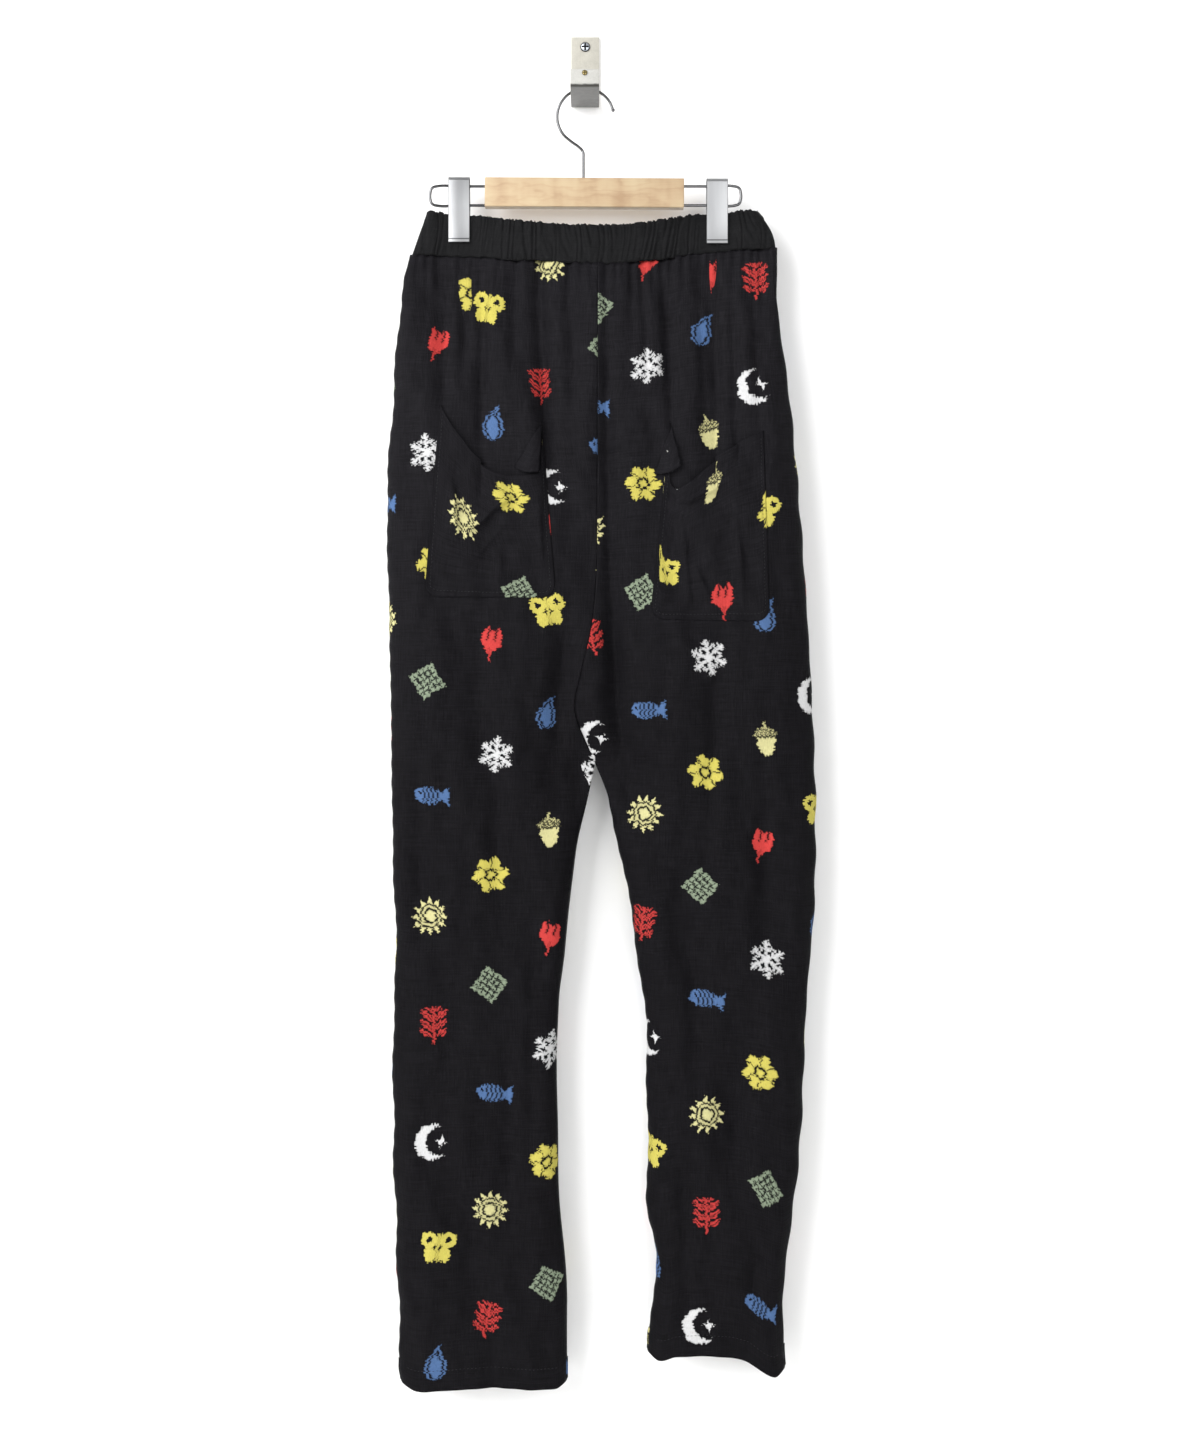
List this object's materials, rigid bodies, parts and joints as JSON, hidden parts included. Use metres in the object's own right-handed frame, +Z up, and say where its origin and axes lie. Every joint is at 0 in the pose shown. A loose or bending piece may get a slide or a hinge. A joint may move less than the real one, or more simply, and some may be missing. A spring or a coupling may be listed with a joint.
{
  "type": "harem pants on a clip hanger and wall hook",
  "caption": "Loose drop-crotch trousers with a gathered elastic waistband and two drooping patch pockets, hung flat from a wood and wire clip hanger on a wall hook.",
  "frame": {"origin": "middle of the wall hook's flat back, where it meets the wall", "axes": "+Z up, +Y into the wall, the front of the garment faces -Y, +X to the right as seen from the front"},
  "size_m": [0.3746, 0.0649, 1.1943],
  "materials": {
    "figured_cloth": "matt black woven cloth with figures of coloured thread",
    "waistband_cloth": "matt black gathered elastic band",
    "clip_steel": "satin plated sheet steel",
    "wire_steel": "polished plated wire",
    "bar_wood": "pale bare wood, satin",
    "hook_enamel": "old cream paint",
    "screw_zinc": "zinc plated",
    "screw_brass": "dull brass"
  },
  "bodies": {
    "root": {"front_left_top": "figured_cloth", "front_left_hip": "figured_cloth", "front_left_knee": "figured_cloth", "front_left_shin": "figured_cloth", "front_right_top": "figured_cloth", "front_right_hip": "figured_cloth", "front_right_knee": "figured_cloth", "front_right_shin": "figured_cloth", "back_left_top": "figured_cloth", "back_left_hip": "figured_cloth", "back_left_knee": "figured_cloth", "back_left_shin": "figured_cloth", "back_right_top": "figured_cloth", "back_right_hip": "figured_cloth", "back_right_knee": "figured_cloth", "back_right_shin": "figured_cloth", "pocket_left": "figured_cloth", "pocket_right": "figured_cloth", "waistband": "waistband_cloth", "clip_left": "clip_steel", "clip_right": "clip_steel", "frame_wire_left": "wire_steel", "frame_wire_right": "wire_steel", "hook_wire": "wire_steel", "wood_bar": "bar_wood", "wall_hook": "hook_enamel", "screw_wall": "screw_zinc", "screw_lip": "screw_brass"}
  },
  "joints": []
}
